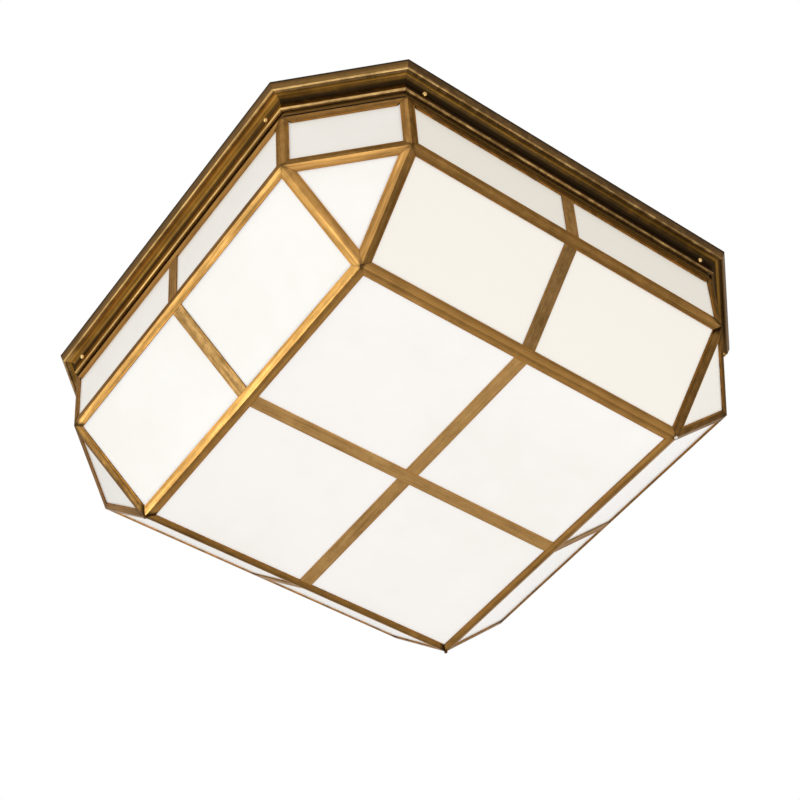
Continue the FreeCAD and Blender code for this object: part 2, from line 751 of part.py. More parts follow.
def terminal_block():
    """Block under the plate where the lamp leads meet the supply wires."""
    width = 2 * BLOCK_HALF
    low = PLATE_UNDER_Z - BLOCK_HEIGHT
    block = Part.makeBox(width, width, BLOCK_HEIGHT, Vector(-BLOCK_HALF, -BLOCK_HALF, low))
    block = block.makeFillet(BLOCK_ROUND, [edge for edge in block.Edges
                                           if abs(edge.Vertexes[0].Z - edge.Vertexes[1].Z) > TOUCH])
    for column in (-1, 0, 1):
        hole = upright(BLOCK_SCREW_RADIUS, column * BLOCK_SCREW_PITCH, 0, low - OVERRUN,
                       low + BLOCK_SCREW_DEPTH)
        block = block.cut(hole)
    return block


def lamp_bracket():
    """Bent strip that hangs from the plate and carries one lamp holder, along +X."""
    back = HOLDER_BACK_OUT - BRACKET_SHEET
    foot_end = HOLDER_BACK_OUT + BRACKET_FOOT
    under = PLATE_UNDER_Z - BRACKET_SHEET
    low = LAMP_Z - BRACKET_TAIL
    outer_bend = BRACKET_BEND + BRACKET_SHEET
    slant = 1 - DIAGONAL

    def at(x, z):
        return Vector(x, -BRACKET_WIDTH / 2, z)

    top_start = at(back + outer_bend, PLATE_UNDER_Z)
    side_end = at(back, PLATE_UNDER_Z - outer_bend)
    inner_top = at(HOLDER_BACK_OUT + BRACKET_BEND, under)
    inner_side = at(HOLDER_BACK_OUT, under - BRACKET_BEND)
    edges = [Part.makeLine(top_start, at(foot_end, PLATE_UNDER_Z)),
             Part.makeLine(at(foot_end, PLATE_UNDER_Z), at(foot_end, under)),
             Part.makeLine(at(foot_end, under), inner_top),
             Part.Arc(inner_top, at(HOLDER_BACK_OUT + slant * BRACKET_BEND,
                                    under - slant * BRACKET_BEND), inner_side).toShape(),
             Part.makeLine(inner_side, at(HOLDER_BACK_OUT, low)),
             Part.makeLine(at(HOLDER_BACK_OUT, low), at(back, low)),
             Part.makeLine(at(back, low), side_end),
             Part.Arc(side_end, at(back + slant * outer_bend,
                                   PLATE_UNDER_Z - slant * outer_bend), top_start).toShape()]
    bracket = Part.Face(Part.Wire(edges)).extrude(Vector(0, BRACKET_WIDTH, 0))
    for x, y in rivet_places():
        bracket = bracket.cut(upright(RIVET_RADIUS + RIVET_FIT, x, y, under - OVERRUN, PLATE_UNDER_Z))
    hole = radial_cylinder(EYELET_RADIUS, back - OVERRUN, HOLDER_BACK_OUT + OVERRUN, 0, LAMP_Z)
    return bracket.cut(hole)


def bracket_rivets():
    """Rivets of the bracket feet and the eyelets that clinch each holder to its bracket."""
    pieces = []
    above, below = PLATE_TOP_Z, PLATE_UNDER_Z - BRACKET_SHEET
    for x, y in rivet_places():
        rivet = upright(RIVET_RADIUS, x, y, below, above)
        rivet = rivet.fuse(upright(RIVET_HEAD_RADIUS, x, y, above, above + RIVET_HEAD_HEIGHT))
        rivet = rivet.fuse(upright(RIVET_HEAD_RADIUS, x, y, below - RIVET_HEAD_HEIGHT, below))
        pieces += on_diagonals(rivet)
    back = HOLDER_BACK_OUT - BRACKET_SHEET
    eyelet = revolved([(back - EYELET_FLANGE, EYELET_BORE),
                       (back - EYELET_FLANGE, EYELET_FLANGE_RADIUS),
                       (back, EYELET_FLANGE_RADIUS), (back, EYELET_RADIUS),
                       (back + EYELET_TAIL, EYELET_RADIUS), (back + EYELET_TAIL, EYELET_BORE)],
                      0, LAMP_Z)
    return pieces + on_diagonals(eyelet)


HOLDER_FRONT = HOLDER_BACK_OUT + HOLDER_LENGTH
CAVITY_FLOOR = HOLDER_BACK_OUT + HOLDER_FLOOR
SHELL_BORE = BASE_RADIUS + LAMP_GAP
CAVITY_RADIUS = SHELL_BORE + SHELL + HOLDER_SLACK


def lamp_holder():
    """Porcelain screw holder, a cup open at the front, along +X."""
    back_end = HOLDER_BACK_OUT + HOLDER_BACK_LENGTH
    eyelet_end = HOLDER_BACK_OUT - BRACKET_SHEET + EYELET_TAIL
    points = [(HOLDER_BACK_OUT, EYELET_RADIUS), (HOLDER_BACK_OUT, HOLDER_BACK_RADIUS),
              (back_end - HOLDER_RIM, HOLDER_BACK_RADIUS), (back_end + HOLDER_RIM, HOLDER_RADIUS),
              (HOLDER_FRONT - HOLDER_RIM, HOLDER_RADIUS),
              (HOLDER_FRONT, HOLDER_RADIUS - HOLDER_RIM), (HOLDER_FRONT, CAVITY_RADIUS),
              (CAVITY_FLOOR, CAVITY_RADIUS), (CAVITY_FLOOR, 0), (eyelet_end, 0),
              (eyelet_end, EYELET_RADIUS)]
    return revolved(points, 0, LAMP_Z)


def holder_shells():
    """Screw shell and centre contact inside each holder."""
    outer = SHELL_BORE + SHELL
    shell = revolved([(CAVITY_FLOOR, SHELL_BORE - SHELL_SHORT), (CAVITY_FLOOR, outer),
                      (HOLDER_FRONT - SHELL_SHORT, outer), (HOLDER_FRONT - SHELL_SHORT, SHELL_BORE),
                      (CAVITY_FLOOR + SHELL, SHELL_BORE),
                      (CAVITY_FLOOR + SHELL, SHELL_BORE - SHELL_SHORT)], 0, LAMP_Z)
    contact = radial_cylinder(CONTACT_RADIUS, CAVITY_FLOOR, CAVITY_FLOOR + CONTACT_HEIGHT, 0, LAMP_Z)
    return on_diagonals(shell) + on_diagonals(contact)


TIP_START = CAVITY_FLOOR + CONTACT_HEIGHT + LAMP_GAP
BASE_START = TIP_START + TIP_LENGTH
BASE_END = BASE_START + BASE_LENGTH


def lamp_base():
    """Screw cap of a lamp: centre contact, taper and barrel."""
    return revolved([(TIP_START, 0), (TIP_START, TIP_RADIUS), (BASE_START, BASE_COLLAR_RADIUS),
                     (BASE_START + BASE_TAPER, BASE_RADIUS), (BASE_END, BASE_RADIUS),
                     (BASE_END, 0)], 0, LAMP_Z)


def lamp_bulb():
    """Glass envelope: a ball that runs into its neck through a tangent hollow curve."""
    centre = BASE_END + BULB_NECK_TO_CENTRE
    angle = math.radians(BULB_SHOULDER_DEG)
    outward = Vector(-math.cos(angle), 0, math.sin(angle))
    ball = Vector(centre, 0, 0)
    shoulder = ball + outward * BULB_RADIUS
    neck = Vector(BASE_END, 0, BULB_NECK_RADIUS)
    chord = neck - shoulder
    hollow = chord.dot(chord) / (2 * chord.dot(outward))
    hollow_centre = shoulder + outward * hollow
    halfway = (neck + shoulder) * 0.5 - hollow_centre
    halfway.normalize()
    crown = Vector(centre + BULB_RADIUS, 0, 0)
    side = ball + Vector(math.sin(angle), 0, math.cos(angle)) * BULB_RADIUS
    edges = [Part.makeLine(Vector(BASE_END, 0, 0), neck),
             Part.Arc(neck, hollow_centre + halfway * hollow, shoulder).toShape(),
             Part.Arc(shoulder, side, crown).toShape(),
             Part.makeLine(crown, Vector(BASE_END, 0, 0))]
    bulb = Part.Face(Part.Wire(edges)).revolve(Vector(0, 0, 0), Vector(1, 0, 0), 360)
    bulb.translate(Vector(0, 0, LAMP_Z))
    return bulb


def lamp_leads():
    """Sleeved leads, each from its holder's eyelet up into the terminal block."""
    start = Vector(HOLDER_BACK_OUT - BRACKET_SHEET + EYELET_TAIL - LEAD_START_GAP, 0, LAMP_Z)
    bend_start = Vector(HOLDER_BACK_OUT - BRACKET_SHEET - EYELET_FLANGE, 0, LAMP_Z)
    centre = bend_start + UP * LEAD_BEND
    bend_middle = centre + Vector(-DIAGONAL, 0, -DIAGONAL) * LEAD_BEND
    bend_end = centre - Vector(LEAD_BEND, 0, 0)
    top = Vector(bend_end.x, 0, PLATE_UNDER_Z - BLOCK_HEIGHT)
    path = Part.Wire([Part.makeLine(start, bend_start),
                      Part.Arc(bend_start, bend_middle, bend_end).toShape(),
                      Part.makeLine(bend_end, top)])
    ring = Part.Wire(Part.makeCircle(LEAD_RADIUS, start, Vector(-1, 0, 0)))
    return on_diagonals(path.makePipeShell([ring], True, False))


def angle_bars(pairs):
    return [angle_bar(one, other) for one, other in pairs]


def base_cross_half(direction):
    """Half cross bar from the long bar to the base flange."""
    low, high = BAR_WIDTH / 2, BASE_HALF - LEG
    centre = Vector(0, direction * (low + high) / 2, BASE_Z)
    return facet_block(FACETS["base"], centre, Vector(0, 1, 0), high - low, BAR_WIDTH, 0, SHEET)


def shade_nodes():
    sides = range(SIDES)
    nodes = {}
    for side in sides:
        nodes["bottom_rail_%d" % (side + 1)] = [angle_bar("base", ("slope", side))]
    long_bar = facet_block(FACETS["base"], Vector(0, 0, BASE_Z), Vector(1, 0, 0),
                           2 * (BASE_HALF - LEG), BAR_WIDTH, 0, SHEET)
    nodes["bottom_cross_bar_long"] = [long_bar]
    nodes["bottom_cross_bar_halves"] = [base_cross_half(-1), base_cross_half(1)]
    hips = [(("slope", side), ("corner", side)) for side in sides]
    hips += [(("slope", side), ("corner", (side - 1) % SIDES)) for side in sides]
    nodes["hip_bars"] = angle_bars(hips)
    nodes["slope_bars"] = [mid_bar(FACETS["slope", side]) for side in sides]
    nodes["waist_rails_long"] = angle_bars([(("slope", side), ("band", side)) for side in sides])
    nodes["waist_rails_corner"] = angle_bars([(("corner", side), ("band_corner", side))
                                              for side in sides])
    posts = [(("band", side), ("band_corner", side)) for side in sides]
    posts += [(("band", side), ("band_corner", (side - 1) % SIDES)) for side in sides]
    nodes["corner_posts"] = angle_bars(posts)
    nodes["band_bars"] = [mid_bar(FACETS["band", side], TOP_LEG) for side in sides]
    nodes["top_rails_long"] = [angle_bar(("band", side), "top", TOP_LEG) for side in sides]
    nodes["top_rails_corner"] = [angle_bar(("band_corner", side), "top", TOP_LEG)
                                 for side in sides]
    nodes["neck_ring"] = [neck_ring()]
    nodes["bottom_panes"] = base_panes()
    nodes["slope_panes"] = [p for side in sides for p in half_panes(FACETS["slope", side])]
    nodes["corner_panes"] = [pane(FACETS["corner", side]) for side in sides]
    nodes["band_panes"] = [p for side in sides for p in half_panes(FACETS["band", side])]
    nodes["band_corner_panes"] = [pane(FACETS["band_corner", side]) for side in sides]
    nodes["glass_clips"] = glass_clips()
    nodes["solder_beads"] = solder_beads()
    return nodes


def canopy_nodes():
    nodes = {"canopy_moulding_long": long_mouldings(),
             "canopy_moulding_corner": corner_mouldings(),
             "canopy_plate": [canopy_plate()],
             "wire_bushing": [wire_bushing()],
             "mounting_crossbar": [crossbar()],
             "canopy_studs": canopy_studs(),
             "canopy_cap_nuts": cap_nuts(),
             "ground_screw": [ground_screw()],
             "terminal_block": [terminal_block()],
             "lamp_brackets": on_diagonals(lamp_bracket()),
             "bracket_rivets": bracket_rivets(),
             "holder_screw_shells": holder_shells(),
             "socket_leads": lamp_leads(),
             "screw_inserts": screw_inserts()}
    for number, holder in enumerate(on_diagonals(lamp_holder()), 1):
        nodes["lamp_holder_%d" % number] = [holder]
    return nodes


def moving_nodes():
    nodes = {}
    for number, base in enumerate(on_diagonals(lamp_base()), 1):
        nodes["lamp_base_%d" % number] = [base]
    for number, bulb in enumerate(on_diagonals(lamp_bulb()), 1):
        nodes["lamp_bulb_%d" % number] = [bulb]
    for number, screw in enumerate(shade_screws(), 1):
        nodes["shade_screw_%d" % number] = [screw]
    return nodes


def write_parts():
    os.makedirs("parts", exist_ok=True)
    for group in (canopy_nodes(), shade_nodes(), moving_nodes()):
        for name, solids in group.items():
            shape = solids[0] if len(solids) == 1 else Part.makeCompound(solids)
            shape.exportStep("parts/%s.step" % name)


write_parts()
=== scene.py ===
"""Dresses the ceiling light in patinated brass and opal glass, in a plain pale studio."""
import math

import bmesh
import bpy
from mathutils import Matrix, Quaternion, Vector


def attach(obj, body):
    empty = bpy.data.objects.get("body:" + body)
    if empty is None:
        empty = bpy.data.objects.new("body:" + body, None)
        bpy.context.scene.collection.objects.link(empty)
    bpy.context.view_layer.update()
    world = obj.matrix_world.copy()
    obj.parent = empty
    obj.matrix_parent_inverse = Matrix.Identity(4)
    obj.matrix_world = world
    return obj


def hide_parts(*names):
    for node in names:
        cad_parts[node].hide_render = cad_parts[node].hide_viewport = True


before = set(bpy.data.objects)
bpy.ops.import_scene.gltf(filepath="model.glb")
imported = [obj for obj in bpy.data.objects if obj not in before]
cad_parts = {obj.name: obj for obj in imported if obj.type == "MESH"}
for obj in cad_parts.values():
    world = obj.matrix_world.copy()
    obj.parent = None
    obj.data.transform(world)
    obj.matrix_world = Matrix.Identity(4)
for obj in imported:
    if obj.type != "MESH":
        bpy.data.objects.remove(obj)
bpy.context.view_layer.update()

MM = 0.001

# Camera, solved from the photograph: place in the row frame, rotation vector from the
# row frame to the image axes (right, down, away) and focal length in pixels
PHOTO_PIXELS = 800
FOCAL_PIXELS = 1826.94
SENSOR_MM = 36.0
CAMERA_PLACE = Vector((-0.69204, -0.85009, -1.31531))
CAMERA_TURN = Vector((0.68011, -0.26973, 0.58131))
NEAREST_SEEN = 0.01
FARTHEST_SEEN = 50

# Room
FLOOR_DROP = 2.4
FLOOR_SIZE = 240.0
FLOOR_TONES = ((0.80, 0.80, 0.79, 1), (0.84, 0.84, 0.83, 1))
WORLD_LIGHT = (0.80, 0.778, 0.715, 1)
WORLD_SEEN = (1, 1, 1, 1)
SHADE_MIDDLE = Vector((0.0, 0.0, -0.1))

# Sizes that the materials follow, from the CAD: the legs of the folded strips and of the
# ledge at the top, half the width of a flat bar, and the corners of the base and the waist
LEG = 6.8 * MM
TOP_LEG = 9.0 * MM
BAR_HALF = 6.35 * MM
BASE_HALF = 165.0 * MM
BASE_Z = -170.0 * MM
WAIST_HALF = 241.5 * MM
WAIST_SIDE = 166.7 * MM
WAIST_Z = -95.7 * MM

# Where the parts of the canopy moulding, and the bands of painted light and shade on them,
# give way to each other. Most are heights, and the two insets are distances inwards from its
# outer edge.
CEILING_LINE = (-2.2 * MM, -0.6 * MM)
FASCIA_TOP = (-5.5 * MM, -2.0 * MM)
HEM_TOP = (-7.2 * MM, -6.6 * MM)
HEM_INSET = (6.6 * MM, 7.4 * MM)
HOLLOW_INSET = (6.8 * MM, 7.8 * MM)
WALL_TOP = (-9.5 * MM, -8.2 * MM)
COLLAR_TOP = (-13.6 * MM, -12.2 * MM)
COLLAR_FOOT = (-18.5 * MM, -15.0 * MM)
ROLL = (-21.9 * MM, -19.6 * MM)
ROLL_SOFT = 0.4 * MM
ROLL_FOOT = (-22.4 * MM, -21.8 * MM)

# Heights of the painted shade on the neck and on the glass, and the edges of the panes
# painted a creamier shade
NECK_FOOT = (-25.8 * MM, -23.8 * MM)
GLASS_TOP = (-52 * MM, -31 * MM)
CREAM_Y = (-170 * MM, -166 * MM)
CREAM_X = (-166.5 * MM, -165.0 * MM)

# How dark each strip of a node is painted, from 0 for bright to 1 for dark: its lower and
# its upper flange. This is patina together with painted light and shade, lighter on the
# sides towards the light and darker on the others. A value beyond 0 or 1 stays bright or
# dark where the patina is uneven.
# Rails and bars come in the order -Y, +X, +Y, -X, and at the corners +X-Y, +X+Y, -X+Y,
# -X-Y. The canopy's lengths go the same way round from +X and from +X+Y. Hips and posts
# come in the order of the sides twice: first the one at each side's end towards the next
# side, then the one at its other end.
SIDE_SHADE_AND_AGE = {
    "bottom_rail_1": ((0.05, -0.4),), "bottom_rail_2": ((0.05, 0.5),),
    "bottom_rail_3": ((0.4, 0.4),), "bottom_rail_4": ((0.1, 0.15),),
    "bottom_cross_bar_long": ((0.0, 0.0),), "bottom_cross_bar_halves": ((0.05, 0.05),) * 2,
    "waist_rails_long": ((0.32, 0.65), (0.7, 0.7), (0.7, 0.7), (0.3, 0.75)),
    "waist_rails_corner": ((1.0, 1.0), (0.7, 0.7), (0.8, 0.8), (-0.1, 0.65)),
    "hip_bars": ((0.6, 0.9), (0.7, 0.7), (0.7, 0.7), (0.15, 0.25),
                 (0.5, -0.4), (0.9, 0.95), (0.7, 0.7), (0.8, 0.75)),
    "corner_posts": ((0.8, 0.95), (0.7, 0.7), (0.7, 0.7), (0.35, 0.55),
                     (0.25, 0.85), (0.7, 0.7), (0.7, 0.7), (0.7, 0.65)),
    "top_rails_long": ((1.0, 1.0), (0.8, 0.8), (0.8, 0.8), (0.05, 0.05)),
    "top_rails_corner": ((0.8, 0.8), (0.8, 0.8), (0.8, 0.8), (0.4, 0.4)),
    "slope_bars": ((0.6, 0.6), (0.6, 0.6), (0.6, 0.6), (0.66, 0.66)),
    "band_bars": ((0.6, 0.6),) * 4,
    "canopy_moulding_long": ((0.95, 0.95), (0.6, 0.6), (0.05, 0.05), (0.95, 0.95)),
    "canopy_moulding_corner": ((0.7, 0.7), (0.9, 0.9), (0.7, 0.7), (1.6, 1.6)),
}
UNSHADED_UNAGED = (0.0, 0.0)
MIDDLE_SHADE_AND_AGE = 0.7
AGE_SPREAD = 0.9

# Joints that have gone black: every strip that ends within reach of one is sooty there
SUNK_JOINTS = [Vector(place) for place in (
    (WAIST_SIDE, -WAIST_HALF, WAIST_Z), (WAIST_HALF, -WAIST_SIDE, WAIST_Z),
    (-WAIST_HALF, WAIST_SIDE, WAIST_Z), (WAIST_SIDE, WAIST_HALF, WAIST_Z),
    (WAIST_HALF, WAIST_SIDE, WAIST_Z), (-BASE_HALF, BASE_HALF, BASE_Z),
    (BASE_HALF, BASE_HALF, BASE_Z))]
SUNK_REACH = 9.0 * MM
SUNK_DEPTH = 3.8 * MM

# Noise cells per metre along and across a strip, what the noise moves on by from strip to
# strip, and the noise values between which the tones change and the rubbing starts
FINE_LINES = (22, 1250, 1)
COARSE_LINES = (16, 300, 1)
CLOUDS = (34, 60, 1)
RUBBED_SPOTS = (70, 300, 1)
AGE_SPOTS = (90, 150, 1)
SEED_STEP = 7.31
SEED_SPREAD = 3.7
TONE_STEPS = (0.40, 0.56, 0.74)
RUB_RANGE = (0.36, 0.62)
CANOPY_RUB_RANGE = (0.34, 0.58)

# Measuring a strip. FAR is the gap on a face that has no edge across the strip. An edge
# that is shorter than SHORTEST_EDGE, or whose cosine to the strip is over ALONG, isn't
# one. The ends of a flat bar, where the width direction is shorter than SQUARE, count as
# its middle. The largest FLANGE_FACES faces are both sides of the two flanges.
FAR = 1.0
SHORTEST_EDGE = 1e-7
ALONG = 0.97
SQUARE = 0.5
FLANGE_FACES = 4
AXIS_ROUNDS = 40
AXIS_START = Vector((1.0, 0.61, 0.37))

# Making the CAD's triangles whole faces again, and rounding the edges between them
SAME_POINT = 1e-6
FLAT_ANGLE = math.radians(0.3)
STRIP_ROUNDING = 0.18 * MM
CANOPY_ROUNDING = 0.15 * MM
SHARP_ANGLE = math.radians(28)

# Sockets of a Mix node that mixes colours, and of the main shader
MIX_AMOUNT, MIX_FIRST, MIX_SECOND, MIX_RESULT = 0, 6, 7, 2
SOCKETS = {"color": "Base Color", "rough": "Roughness", "metal": "Metallic",
           "coat": "Coat Weight", "coat_rough": "Coat Roughness", "ior": "IOR",
           "specular": "Specular IOR Level", "tint": "Specular Tint"}


def srgb(red, green, blue):
    """A linear colour from eight-bit screen values."""
    def linear(value):
        value = value / 255
        return value / 12.92 if value <= 0.04045 else ((value + 0.055) / 1.055) ** 2.4
    return (linear(red), linear(green), linear(blue), 1.0)


# Brass: its gloss at a grazing angle, the patina from deep to light, which also serves as
# the lit and shaded ends of the painted side shade, soot that also serves as painted shadow,
# and worn rims
BRASS_EDGE = srgb(234, 212, 190)
BRIGHT = (srgb(140, 104, 56), srgb(178, 132, 73), srgb(211, 162, 95))
PALE = (srgb(160, 122, 72), srgb(192, 149, 93), srgb(219, 177, 115))
DARK = (srgb(50, 32, 12), srgb(72, 47, 19), srgb(98, 67, 31))
SOOT_AND_SHADOW = srgb(34, 22, 9)
RIM = srgb(176, 118, 48)


class Shader:
    """Short calls for building one material's node tree."""

    def __init__(self, name):
        self.material = bpy.data.materials.new(name)
        self.material.use_nodes = True
        self.tree = self.material.node_tree
        self.surface = self.tree.nodes["Principled BSDF"]

    def node(self, kind, **settings):
        made = self.tree.nodes.new(kind)
        for key, value in settings.items():
            setattr(made, key, value)
        return made

    def join(self, source, target):
        self.tree.links.new(source, target)

    def feed(self, socket, value):
        if isinstance(value, bpy.types.NodeSocket):
            self.join(value, socket)
        else:
            socket.default_value = value

    def math(self, operation, *values, clamp=False):
        made = self.node("ShaderNodeMath", operation=operation, use_clamp=clamp)
        for socket, value in zip(made.inputs, values):
            self.feed(socket, value)
        return made.outputs[0]

    def times(self, first, second):
        return self.math("MULTIPLY", first, second)

    def weighted(self, *shares):
        """The sum of some values, each times its share."""
        parts = [self.times(value, share) for value, share in shares]
        total = parts[0]
        for part in parts[1:]:
            total = self.math("ADD", total, part)
        return total

    def ramp(self, value, low, high, out_low, out_high, smooth=True):
        made = self.node("ShaderNodeMapRange",
                         interpolation_type="SMOOTHSTEP" if smooth else "LINEAR")
        for key, number in (("Value", value), ("From Min", low), ("From Max", high),
                            ("To Min", out_low), ("To Max", out_high)):
            self.feed(made.inputs[key], number)
        return made.outputs["Result"]

    def rise(self, value, low, high, top=1.0):
        """Zero up to the low value, and top from the high value on."""
        return self.ramp(value, low, high, 0.0, top)

    def fall(self, value, low, high, top=1.0):
        """Top up to the low value, and zero from the high value on."""
        return self.ramp(value, low, high, top, 0.0)

    def window(self, value, low, high, soft):
        """One between two values of a number, falling to zero on both sides."""
        return self.times(self.rise(value, low - soft, low + soft),
                          self.fall(value, high - soft, high + soft))

    def blend(self, amount, first, second):
        made = self.node("ShaderNodeMix", data_type="RGBA")
        for socket, value in ((MIX_AMOUNT, amount), (MIX_FIRST, first), (MIX_SECOND, second)):
            self.feed(made.inputs[socket], value)
        return made.outputs[MIX_RESULT]

    def parts(self, vector):
        made = self.node("ShaderNodeSeparateXYZ")
        self.join(vector, made.inputs[0])
        return made.outputs

    def attribute(self, name):
        return self.node("ShaderNodeAttribute", attribute_name=name)

    def place(self):
        return self.node("ShaderNodeTexCoord").outputs["Object"]

    def stretched(self, vector, scale):
        made = self.node("ShaderNodeMapping")
        self.join(vector, made.inputs["Vector"])
        made.inputs["Scale"].default_value = scale
        return made.outputs["Vector"]

    def noise(self, vector, scale, detail, roughness=0.5):
        made = self.node("ShaderNodeTexNoise")
        self.join(vector, made.inputs["Vector"])
        made.inputs["Scale"].default_value = scale
        made.inputs["Detail"].default_value = detail
        made.inputs["Roughness"].default_value = roughness
        return made.outputs["Fac"]

    def bump(self, height, strength, distance):
        made = self.node("ShaderNodeBump")
        self.join(height, made.inputs["Height"])
        made.inputs["Strength"].default_value = strength
        made.inputs["Distance"].default_value = distance
        self.join(made.outputs["Normal"], self.surface.inputs["Normal"])

    def set(self, **values):
        for key, value in values.items():
            self.feed(self.surface.inputs[SOCKETS[key]], value)
        return self.material


class Brass(Shader):
    """Patinated brass strip: brush lines along it, cloudy patina and dark joints.

    The piece carries four attributes, with lengths in metres: run (along, across, seed),
    ends (distances to the dark lines at its two joints, and the upward part of the face's
    normal), the flange's darkness (patina together with painted shade on the sides away from
    the light) and inset (distance inwards from the outermost edge).
    """

    def __init__(self, name):
        super().__init__(name)
        self.run = self.attribute("run").outputs["Vector"]
        self.across = self.parts(self.run)["Y"]
        ends = self.parts(self.attribute("ends").outputs["Vector"])
        self.gap = self.math("MINIMUM", ends["X"], ends["Y"])
        self.level = self.math("ABSOLUTE", ends["Z"])
        self.fine = self.grain(FINE_LINES, 3.0, 0.6)
        self.coarse = self.grain(COARSE_LINES, 2.0, 0.5)
        self.rub = self.grain(RUBBED_SPOTS, 3.0, 0.7)
        cloud = self.grain(CLOUDS, 3.0, 0.6)
        self.tone = self.weighted((self.fine, 0.46), (self.coarse, 0.30), (cloud, 0.34))
        uneven = self.math("SUBTRACT", 0.5, self.grain(AGE_SPOTS, 4.0, 0.7))
        # The flange's darkness: patina together with painted side shade, made uneven by patina
        # spots
        self.side_shade_and_years = self.attribute("shade_and_age").outputs["Fac"]
        self.shade_and_age = self.math("ADD", self.side_shade_and_years, self.times(uneven, AGE_SPREAD), clamp=True)

    def grain(self, cells, detail, roughness):
        """Noise that follows the strip."""
        return self.noise(self.stretched(self.run, cells), 1.0, detail, roughness)

    def patina(self, deep, mid, light):
        low, middle, high = TONE_STEPS
        colour = self.blend(self.rise(self.tone, low, middle), deep, mid)
        return self.blend(self.rise(self.tone, middle, high), colour, light)

    # Bright to dark tones by the darkness, which is patina together with painted side shade
    def shaded_and_aged(self, bright=BRIGHT):
        return self.blend(self.shade_and_age, self.patina(*bright), self.patina(*DARK))

    def joints(self, colour, strength):
        """Dark solder lines at both joints, and soot at the joints that have gone black."""
        near = self.math("ADD", self.gap, self.times(self.rub, 0.5 * MM))
        colour = self.blend(self.fall(near, 0.30 * MM, 0.80 * MM, strength), colour, SOOT_AND_SHADOW)
        return self.blend(self.fall(near, -1.6 * MM, -0.2 * MM, 0.9), colour, SOOT_AND_SHADOW)

    def finish(self, colour, rough, metal=1.0):
        self.bump(self.fine, 0.2, 0.05 * MM)
        roughness = self.ramp(self.coarse, 0.35, 0.7, rough + 0.07, rough - 0.05)
        return self.set(color=colour, metal=metal, rough=roughness, tint=BRASS_EDGE)


def folded_brass(name, ledge=False):
    """Folded strip, rubbed at the cut edge and dark at its tips.

    A flange that faces up or down gets painted shade along the fold, and a steeper one
    painted shade towards the glass. A ledge also gets a painted shadow along its ridge,
    stronger where the strip is painted darker.
    """
    shader = Brass(name)
    flat = shader.rise(shader.level, 0.8, 0.95)
    steep = shader.math("SUBTRACT", 1.0, flat)
    # Painted shade along the fold of a level flange, and towards the glass on a steeper one
    painted_fold_shade = shader.fall(shader.across, 0.5 * MM, 4.5 * MM, 0.35)
    painted_glass_edge_shade = shader.rise(shader.across, 1.5 * MM, LEG, 0.5)
    colour = shader.blend(shader.weighted((painted_fold_shade, flat), (painted_glass_edge_shade, steep)), shader.shaded_and_aged(),
                          shader.patina(*DARK))
    cut = shader.rise(shader.across, LEG - 1.8 * MM, LEG - 0.2 * MM)
    worn = shader.ramp(shader.rub, *RUB_RANGE, 0.15, 0.7)
    colour = shader.blend(shader.times(cut, worn), colour, RIM)
    colour = shader.joints(colour, 0.45)
    tip = shader.times(shader.fall(shader.gap, 0.6 * MM, 2.4 * MM, 0.55),
                       shader.fall(shader.across, 0.8 * MM, 3.0 * MM))
    colour = shader.blend(tip, colour, SOOT_AND_SHADOW)
    if ledge:
        # Painted shadow along the ledge's ridge, by the dark gap under the canopy, stronger
        # where the strip is painted darker
        ridge = shader.times(shader.fall(shader.across, 0.9 * MM, 1.8 * MM),
                             shader.rise(shader.shade_and_age, 0.4, 0.8, 0.85))
        colour = shader.blend(ridge, colour, SOOT_AND_SHADOW)
    return shader.finish(colour, 0.33)


def flat_brass(name):
    """Flat strip with a rim worn along both cut edges."""
    shader = Brass(name)
    inside = shader.math("SUBTRACT", BAR_HALF, shader.math("ABSOLUTE", shader.across))
    worn = shader.times(shader.fall(inside, 0.1 * MM, 1.4 * MM, 0.8),
                        shader.ramp(shader.rub, *RUB_RANGE, 0.2, 0.8))
    colour = shader.blend(worn, shader.shaded_and_aged(PALE), RIM)
    return shader.finish(shader.joints(colour, 0.35), 0.36)


